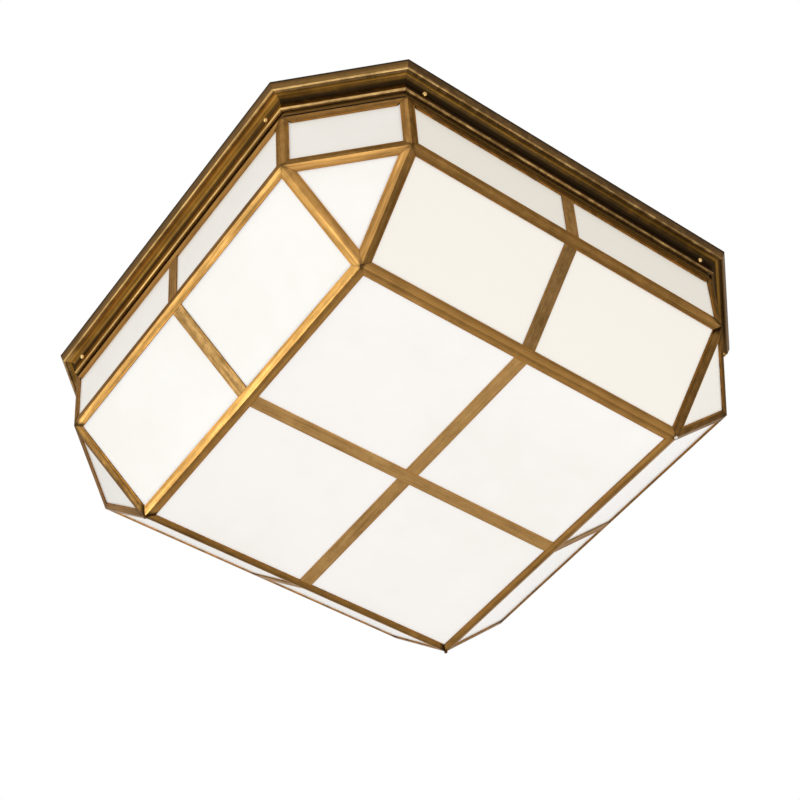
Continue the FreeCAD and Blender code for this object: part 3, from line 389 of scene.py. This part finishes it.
def moulded_brass(name):
    """Canopy moulding: rubbed along the hem and the lower roll with a painted highlight there,
    and painted light and shade in bands across its hollow and fascia.

    Across is the height above the ceiling plane here. The hollow's roof has a painted
    highlight, lighter than the painted shade on the wall below it, with a painted glint
    between them. Each side takes a lit, a middle or a shaded tone. The length listed darkest
    is hardly rubbed and gets little of the painted highlight.
    """
    shader = Brass(name)
    z = shader.across
    inset = shader.attribute("inset").outputs["Fac"]

    def tones(bright, middle, dark):
        """A tone for the brightest, the middle and the darkest sides of the canopy: painted
        light and shade by side, together with patina.
        """
        first = shader.blend(shader.ramp(shader.shade_and_age, 0.0, MIDDLE_SHADE_AND_AGE, 0.0, 1.0, smooth=False),
                             bright, middle)
        return shader.blend(shader.ramp(shader.shade_and_age, MIDDLE_SHADE_AND_AGE, 1.0, 0.0, 1.0, smooth=False),
                            first, dark)

    # Tones by side, lit, middle and shaded: painted light and shade together with patina
    fascia = tones(srgb(112, 82, 42), srgb(134, 100, 52), srgb(86, 61, 30))
    painted_lit_roof = tones(srgb(196, 144, 62), srgb(160, 116, 46), srgb(134, 96, 34))
    painted_glint = tones(srgb(152, 108, 40), srgb(92, 62, 15), srgb(60, 41, 8))
    painted_shaded_wall = tones(srgb(76, 52, 14), srgb(38, 24, 3), srgb(34, 22, 3))
    collar = tones(srgb(170, 121, 45), srgb(60, 38, 6), srgb(30, 18, 3))
    foot = tones(srgb(158, 112, 46), srgb(92, 60, 14), srgb(52, 34, 7))
    rubbed_and_highlight = tones(srgb(220, 177, 108), srgb(238, 196, 128), srgb(142, 106, 58))

    # Painted shade on the fascia towards the ceiling
    fascia = shader.blend(shader.rise(z, *FASCIA_TOP, 0.5), fascia, srgb(66, 46, 22))
    # Painted glint above the painted shaded wall, and a painted highlight on the level roof
    inner = shader.blend(shader.rise(z, *WALL_TOP), painted_shaded_wall, painted_glint)
    inner = shader.blend(shader.rise(shader.level, 0.95, 0.985), inner, painted_lit_roof)
    collar = shader.blend(shader.fall(z, *COLLAR_FOOT), collar, foot)
    inner = shader.blend(shader.fall(z, *COLLAR_TOP), inner, collar)
    colour = shader.blend(shader.rise(inset, *HOLLOW_INSET), fascia, inner)
    # Painted shadow along the ceiling line
    colour = shader.blend(shader.rise(z, *CEILING_LINE), colour, SOOT_AND_SHADOW)
    # Wear with a painted highlight along the hem and the lower roll, little on the length
    # painted darkest
    hem = shader.times(shader.fall(inset, *HEM_INSET), shader.fall(z, *HEM_TOP))
    roll = shader.window(z, *ROLL, ROLL_SOFT)
    rub = shader.times(shader.math("MAXIMUM", hem, roll),
                       shader.ramp(shader.rub, *CANOPY_RUB_RANGE, 0.6, 1.0))
    rub = shader.times(rub, shader.ramp(shader.side_shade_and_years, 1.1, 1.5, 1.0, 0.15))
    colour = shader.blend(rub, colour, rubbed_and_highlight)
    colour = shader.blend(shader.fall(z, *ROLL_FOOT), colour, srgb(140, 102, 50))
    colour = shader.blend(shader.fall(shader.tone, 0.40, 0.64, 0.45), colour, SOOT_AND_SHADOW)
    return shader.finish(shader.joints(colour, 0.25), 0.38, 0.75)


def shadowed_brass(name):
    """The neck between shade and canopy: brown above, with painted shadow towards its foot."""
    shader = Brass(name)
    colour = shader.patina(srgb(120, 88, 44), srgb(150, 112, 58), srgb(176, 134, 74))
    # Painted shadow towards the neck's foot
    colour = shader.blend(shader.fall(shader.across, *NECK_FOOT), colour, srgb(12, 8, 4))
    return shader.finish(colour, 0.55, 0.6)


def opal_glass():
    """White opal sheet: milky body under a clear smooth surface, faintly uneven.

    The panes towards -Y have a creamier painted shade, and all get painted shade by the canopy.
    """
    shader = Shader("opal_sheet")
    swirl = shader.noise(shader.stretched(shader.place(), (5, 5, 9)), 1.0, 3.0, 0.45)
    mottle = shader.noise(shader.place(), 38.0, 2.0)
    cloud = shader.weighted((swirl, 0.75), (mottle, 0.25))
    colour = shader.blend(shader.rise(cloud, 0.35, 0.68), srgb(242, 239, 236),
                          srgb(247, 244, 243))
    place = shader.parts(shader.place())
    # Painted warmer shade on the panes towards -Y
    painted_cream_shade = shader.times(shader.fall(place["Y"], *CREAM_Y), shader.rise(place["X"], *CREAM_X))
    colour = shader.blend(painted_cream_shade, colour, srgb(241, 236, 229))
    # Painted shade on the glass next to the canopy
    colour = shader.blend(shader.rise(place["Z"], *GLASS_TOP, 0.45), colour,
                          srgb(218, 214, 200))
    shader.bump(shader.noise(shader.place(), 16.0, 1.0, 0.4), 0.04, 1.0 * MM)
    return shader.set(color=colour, rough=0.22, specular=0.15, ior=1.5, coat=0.12,
                      coat_rough=0.03)


def enamel():
    """White enamel with a fine orange peel."""
    shader = Shader("white_enamel_coat")
    cloud = shader.noise(shader.place(), 12.0, 2.0)
    colour = shader.blend(cloud, srgb(226, 224, 217), srgb(238, 236, 230))
    shader.bump(shader.noise(shader.place(), 420.0, 2.0), 0.12, 0.1 * MM)
    return shader.set(color=colour, rough=0.38, specular=0.5)


def plated(name, low, high, rough):
    """Plated or plain metal between two tones, with a fine grain."""
    shader = Shader(name)
    spangle = shader.noise(shader.place(), 900.0, 3.0, 0.6)
    cloud = shader.noise(shader.place(), 60.0, 2.0)
    mix = shader.weighted((spangle, 0.5), (cloud, 0.5))
    colour = shader.blend(shader.rise(mix, 0.36, 0.66), low, high)
    shader.bump(spangle, 0.15, 0.04 * MM)
    roughness = shader.ramp(mix, 0.3, 0.7, rough + 0.08, rough - 0.05)
    return shader.set(color=colour, metal=1.0, rough=roughness)


def solder_drops():
    """Solder toned down to the brass, left bare on one corner of the base."""
    shader = Shader("solder_metal")
    place = shader.parts(shader.place())
    dimple = shader.noise(shader.place(), 900.0, 2.0, 0.6)
    toned = shader.blend(shader.rise(dimple, 0.4, 0.6), srgb(64, 44, 20), srgb(118, 84, 42))
    bare = shader.rise(shader.math("SUBTRACT", place["X"], place["Y"]), 0.30, 0.32)
    colour = shader.blend(bare, toned, srgb(206, 200, 188))
    shader.bump(dimple, 0.3, 0.1 * MM)
    return shader.set(color=colour, metal=1.0, rough=shader.ramp(dimple, 0.3, 0.7, 0.38, 0.24))


def moulded(name, low, high, rough, bump=0.1, grain=700.0, coat=0.0):
    """Moulded or glazed ware between two tones."""
    shader = Shader(name)
    cloud = shader.noise(shader.place(), 45.0, 2.0)
    colour = shader.blend(shader.rise(cloud, 0.35, 0.65), low, high)
    shader.bump(shader.noise(shader.place(), grain, 2.0), bump, 0.05 * MM)
    return shader.set(color=colour, rough=rough, specular=0.5, coat=coat)


def woven_sleeve():
    """Braided sleeve of the leads."""
    shader = Shader("woven_sleeve")
    wave = shader.node("ShaderNodeTexWave", bands_direction="DIAGONAL")
    shader.join(shader.place(), wave.inputs["Vector"])
    wave.inputs["Scale"].default_value = 420.0
    wave.inputs["Distortion"].default_value = 1.5
    braid = wave.outputs["Fac"]
    colour = shader.blend(braid, srgb(186, 178, 156), srgb(226, 220, 202))
    shader.bump(braid, 0.5, 0.2 * MM)
    return shader.set(color=colour, rough=0.75)


def frosted_bulb():
    """White frosted glass of a lamp."""
    shader = Shader("frosted_bulb")
    cloud = shader.noise(shader.place(), 30.0, 2.0)
    colour = shader.blend(cloud, srgb(236, 233, 226), srgb(246, 244, 239))
    shader.bump(shader.noise(shader.place(), 1400.0, 2.0), 0.05, 0.05 * MM)
    return shader.set(color=colour, rough=0.3, specular=0.5, coat=0.3)


# Pieces made from the frame's meshes

def islands(mesh):
    """Groups of vertex numbers that hang together, one for each solid."""
    parent = list(range(len(mesh.vertices)))

    def root(number):
        while parent[number] != number:
            parent[number] = parent[parent[number]]
            number = parent[number]
        return number

    for edge in mesh.edges:
        one, other = root(edge.vertices[0]), root(edge.vertices[1])
        if one != other:
            parent[one] = other
    groups = {}
    for vertex in mesh.vertices:
        groups.setdefault(root(vertex.index), []).append(vertex.index)
    return sorted(groups.values(), key=min)


def solids_of(mesh):
    """The points and the faces of each solid, in the order of the vertex numbers."""
    groups = islands(mesh)
    number_of = {index: number for number, group in enumerate(groups) for index in group}
    faces = [[] for _ in groups]
    for face in mesh.polygons:
        faces[number_of[face.vertices[0]]].append(face)
    points = [[mesh.vertices[index].co for index in group] for group in groups]
    return zip(points, faces)


def merged_copy(node, shares):
    """A copy of a CAD node's mesh with its flat faces whole again.

    Points are merged within each of the equal shares of the node's points, so solids that
    touch each other stay apart when each is a share of its own.
    """
    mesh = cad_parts[node].data.copy()
    work = bmesh.new()
    work.from_mesh(mesh)
    work.verts.ensure_lookup_table()
    size = len(work.verts) // shares
    for share in [work.verts[k * size:(k + 1) * size] for k in range(shares)]:
        bmesh.ops.remove_doubles(work, verts=share, dist=SAME_POINT)
    bmesh.ops.dissolve_limit(work, angle_limit=FLAT_ANGLE, verts=work.verts,
                             edges=work.edges, use_dissolve_boundaries=False)
    work.to_mesh(mesh)
    work.free()
    return mesh


def longest_direction(points, middle):
    """Direction of the greatest spread of the points, by power iteration."""
    direction = AXIS_START
    for _ in range(AXIS_ROUNDS):
        total = Vector((0, 0, 0))
        for point in points:
            offset = point - middle
            total += offset * offset.dot(direction)
        direction = total.normalized()
    return direction


def ridge_point(kind, big, points, middle):
    """The outermost point of a folded strip, which lies on its fold."""
    outward = sum((face.normal * face.area for face in big[:FLANGE_FACES]
                   if face.normal.dot(middle) > 0), Vector((0, 0, 0)))
    if kind == "ledge":
        outward.z += outward.length
    return max(points, key=lambda point: point.dot(outward)) if outward.length else middle


def across_strip(kind, point, face, middle, axis, ridge):
    """Distance across the strip, from its fold or from its middle line, or the height."""
    if kind in ("angle", "ledge"):
        gap = point - ridge
        across = (gap - axis * gap.dot(axis)).length
        return across * (LEG / TOP_LEG) if kind == "ledge" else across
    if kind == "flat":
        side = face.normal.cross(axis)
        return (point - middle).dot(side.normalized()) if side.length > SQUARE else 0.0
    return point.z


def cross_edges(face, mesh, axis, middle):
    """The face's edge across each end of the strip, as a point and the direction inwards.

    A face with no such edge gives None for both ends.
    """
    corners = [mesh.vertices[index].co for index in face.vertices]
    edges = [(one, other) for one, other in zip(corners, corners[1:] + corners[:1])
             if (other - one).length >= SHORTEST_EDGE
             and abs((other - one).normalized().dot(axis)) <= ALONG]
    if not edges:
        return (None, None)

    def reach(edge):
        return ((edge[0] + edge[1]) * 0.5 - middle).dot(axis)

    found = []
    for one, other in (min(edges, key=reach), max(edges, key=reach)):
        inward = face.normal.cross(other - one).normalized()
        if inward.dot(middle - one) < 0:
            inward = -inward
        found.append((one, inward))
    return found


def joint_gap(point, crossing):
    """Distance inwards to a point from the dark line at one end of its face.

    At a joint that has gone black, the line lies further into the strip.
    """
    if crossing is None:
        return FAR
    start, inward = crossing
    sunk = any((start - joint).length < SUNK_REACH for joint in SUNK_JOINTS)
    return (point - start).dot(inward) - (SUNK_DEPTH if sunk else 0.0)


def store_attributes(mesh, kind, shades_and_ages):
    """Writes the run, ends, darkness and inset attributes of each solid in the mesh. The
    darkness is patina together with painted shade by side.
    """
    layers = {"run": "FLOAT_VECTOR", "ends": "FLOAT_VECTOR", "shade_and_age": "FLOAT", "inset": "FLOAT"}
    for name, data_type in layers.items():
        mesh.attributes.new(name, data_type, "CORNER")
    run, ends, shade_and_age, inset = (mesh.attributes[name].data for name in layers)
    for number, (points, faces) in enumerate(solids_of(mesh)):
        middle = sum(points, Vector((0, 0, 0))) / len(points)
        axis = longest_direction(points, middle)
        seed = SEED_STEP * (number + 1) + SEED_SPREAD * (middle.x + 2 * middle.y + 5 * middle.z)
        big = sorted(faces, key=lambda face: -face.area)
        ridge = ridge_point(kind, big, points, middle)
        outer = [face.normal.z for face in big if face.normal.dot(middle) > 0][:2] or [0.0]
        split = sum(outer) / len(outer)
        lower, upper = shades_and_ages[number] if shades_and_ages else UNSHADED_UNAGED
        sideways = Vector((middle.x, middle.y, 0)).normalized()
        reach = max(point.dot(sideways) for point in points)
        for face in faces:
            crossings = cross_edges(face, mesh, axis, middle)
            for loop in face.loop_indices:
                point = mesh.vertices[mesh.loops[loop].vertex_index].co
                gaps = [joint_gap(point, crossing) for crossing in crossings]
                across = across_strip(kind, point, face, middle, axis, ridge)
                run[loop].vector = ((point - middle).dot(axis), across, seed)
                ends[loop].vector = (gaps[0], gaps[1], face.normal.z)
                shade_and_age[loop].value = lower if face.normal.z <= split else upper
                inset[loop].value = reach - point.dot(sideways)


def strip_piece(node, body, kind, material, shares=1, rounding=STRIP_ROUNDING):
    """The visible brass piece that stands for a CAD node, with softly rounded edges."""
    mesh = merged_copy(node, shares)
    store_attributes(mesh, kind, SIDE_SHADE_AND_AGE.get(node))
    mesh.materials.clear()
    mesh.materials.append(material)
    piece = bpy.data.objects.new("brass_" + node, mesh)
    bpy.context.scene.collection.objects.link(piece)
    bevel = piece.modifiers.new("worn_edges", "BEVEL")
    bevel.width = rounding
    bevel.segments = 2
    bevel.limit_method = "ANGLE"
    bevel.angle_limit = SHARP_ANGLE
    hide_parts(node)
    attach(piece, body)


def paint(node, material):
    """Puts a material in a CAD node's own slots."""
    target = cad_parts[node]
    if not target.material_slots:
        target.data.materials.append(material)
    for slot in target.material_slots:
        slot.material = material


def dress_shade():
    """The shade's brass frame and neck, its glass, and the clips and solder that hold it."""
    folded = folded_brass("brass_folded_strip")
    ledge = folded_brass("brass_ledge_strip", ledge=True)
    flat = flat_brass("brass_flat_strip")
    for number in range(1, 5):
        strip_piece("bottom_rail_%d" % number, "shade", "angle", folded)
    strip_piece("hip_bars", "shade", "angle", folded, shares=8)
    for node in ("waist_rails_long", "waist_rails_corner", "corner_posts"):
        strip_piece(node, "shade", "angle", folded)
    for node in ("top_rails_long", "top_rails_corner"):
        strip_piece(node, "shade", "ledge", ledge)
    for node in ("bottom_cross_bar_long", "bottom_cross_bar_halves", "slope_bars", "band_bars"):
        strip_piece(node, "shade", "flat", flat)
    strip_piece("neck_ring", "shade", "height", shadowed_brass("brass_neck"))
    glass = opal_glass()
    for node in ("bottom_panes", "slope_panes", "corner_panes", "band_panes",
                 "band_corner_panes"):
        paint(node, glass)
    paint("glass_clips", plated("clip_sheet", srgb(120, 92, 48), srgb(176, 140, 84), 0.4))
    paint("solder_beads", solder_drops())


def dress_canopy():
    """The canopy's moulding and everything that stays on the ceiling with it."""
    moulding = moulded_brass("brass_moulding")
    for node in ("canopy_moulding_long", "canopy_moulding_corner"):
        strip_piece(node, "canopy", "height", moulding, rounding=CANOPY_ROUNDING)
    bright = plated("bright_brass_metal", srgb(150, 112, 56), srgb(214, 172, 104), 0.2)
    head = plated("screw_brass", srgb(196, 156, 92), srgb(232, 200, 140), 0.16)
    zinc = plated("zinc_plate", srgb(150, 150, 146), srgb(196, 197, 192), 0.32)
    shell = plated("shell_metal", srgb(160, 126, 72), srgb(206, 172, 112), 0.3)
    porcelain = moulded("glazed_porcelain", srgb(232, 229, 220), srgb(244, 242, 236), 0.12,
                        bump=0.04, grain=120.0, coat=0.5)
    for node in ("canopy_cap_nuts", "bracket_rivets", "screw_inserts"):
        paint(node, bright)
    for node in ("mounting_crossbar", "canopy_studs", "lamp_brackets"):
        paint(node, zinc)
    paint("canopy_plate", enamel())
    paint("wire_bushing", moulded("black_nylon", srgb(20, 20, 20), srgb(34, 34, 34), 0.45))
    paint("terminal_block", moulded("phenolic_block", srgb(30, 24, 20), srgb(48, 39, 33), 0.5))
    paint("ground_screw", plated("green_zinc", srgb(24, 84, 40), srgb(44, 128, 66), 0.3))
    paint("holder_screw_shells", shell)
    paint("socket_leads", woven_sleeve())
    for number in range(1, 5):
        paint("lamp_holder_%d" % number, porcelain)
    for number in range(1, 9):
        paint("shade_screw_%d" % number, head)


def dress_lamps():
    """The four lamps."""
    cap = plated("cap_aluminium", srgb(168, 168, 166), srgb(214, 214, 210), 0.28)
    glass = frosted_bulb()
    for number in range(1, 5):
        paint("lamp_base_%d" % number, cap)
        paint("lamp_bulb_%d" % number, glass)


# Room, lights and camera

def lay_floor():
    """A pale floor far below the light."""
    shader = Shader("pale_floor")
    grain = shader.noise(shader.place(), 3.0, 2.0)
    shader.set(color=shader.blend(grain, *FLOOR_TONES), rough=0.9)
    mesh = bpy.data.meshes.new("floor")
    half = FLOOR_SIZE / 2
    corners = [(x * half, y * half, -FLOOR_DROP)
               for x, y in ((-1, -1), (1, -1), (1, 1), (-1, 1))]
    mesh.from_pydata(corners, [], [(0, 1, 2, 3)])
    mesh.materials.append(shader.material)
    floor = bpy.data.objects.new("floor", mesh)
    bpy.context.scene.collection.objects.link(floor)


def make_world():
    """A world that is white to look at, and a little dimmer and warmer where it lights."""
    world = bpy.data.worlds.new("studio")
    bpy.context.scene.world = world
    world.use_nodes = True
    tree = world.node_tree
    path = tree.nodes.new("ShaderNodeLightPath")
    seen = path.outputs["Is Camera Ray"]
    for ray in ("Is Glossy Ray", "Is Transmission Ray"):
        either = tree.nodes.new("ShaderNodeMath")
        either.operation = "MAXIMUM"
        tree.links.new(seen, either.inputs[0])
        tree.links.new(path.outputs[ray], either.inputs[1])
        seen = either.outputs[0]
    shown = tree.nodes.new("ShaderNodeMix")
    shown.data_type = "RGBA"
    tree.links.new(seen, shown.inputs[MIX_AMOUNT])
    shown.inputs[MIX_FIRST].default_value = WORLD_LIGHT
    shown.inputs[MIX_SECOND].default_value = WORLD_SEEN
    tree.links.new(shown.outputs[MIX_RESULT], tree.nodes["Background"].inputs["Color"])


def softbox(name, direction, distance, size, radiance, colour):
    """A square area light that faces the shade from the given direction."""
    data = bpy.data.lights.new(name, "AREA")
    data.shape = "SQUARE"
    data.size = size
    data.energy = radiance * math.pi * size * size
    data.color = colour
    light = bpy.data.objects.new(name, data)
    bpy.context.scene.collection.objects.link(light)
    toward = Vector(direction).normalized()
    light.location = SHADE_MIDDLE + toward * distance
    light.rotation_euler = (-toward).to_track_quat("-Z", "Y").to_euler()
    return light


def lights():
    """Soft lights from the left, the near corner and below. The key only adds gloss."""
    key = softbox("key_left", (-0.765, 0.512, -0.39), distance=2.3, size=0.9,
                  radiance=4.6, colour=(0.89, 0.98, 0.97))
    key.visible_diffuse = False
    softbox("key_corner", (-0.72, -0.62, -0.32), distance=2.3, size=0.9,
            radiance=1.65, colour=(0.94, 0.97, 1.0))
    softbox("side_left", (-1.0, 0.1, 0.15), distance=2.3, size=1.2,
            radiance=1.35, colour=(0.92, 0.96, 0.98))
    softbox("fill_below", (0.10, -0.35, -0.93), distance=2.1, size=1.6,
            radiance=2.5, colour=(0.88, 0.92, 1.0))


def camera():
    """The photograph's camera."""
    data = bpy.data.cameras.new("photo_camera")
    data.sensor_width = SENSOR_MM
    data.lens = FOCAL_PIXELS / PHOTO_PIXELS * SENSOR_MM
    data.clip_start = NEAREST_SEEN
    data.clip_end = FARTHEST_SEEN
    made = bpy.data.objects.new("photo_camera", data)
    bpy.context.scene.collection.objects.link(made)
    right, down, away = Quaternion(CAMERA_TURN.normalized(), CAMERA_TURN.length).to_matrix()
    turn = made.matrix_world.to_3x3()
    turn.col[0], turn.col[1], turn.col[2] = right, -down, -away
    made.matrix_world = turn.to_4x4()
    made.location = CAMERA_PLACE
    bpy.context.scene.camera = made


dress_shade()
dress_canopy()
dress_lamps()
lay_floor()
make_world()
lights()
camera()
bpy.context.scene.view_settings.view_transform = "Standard"
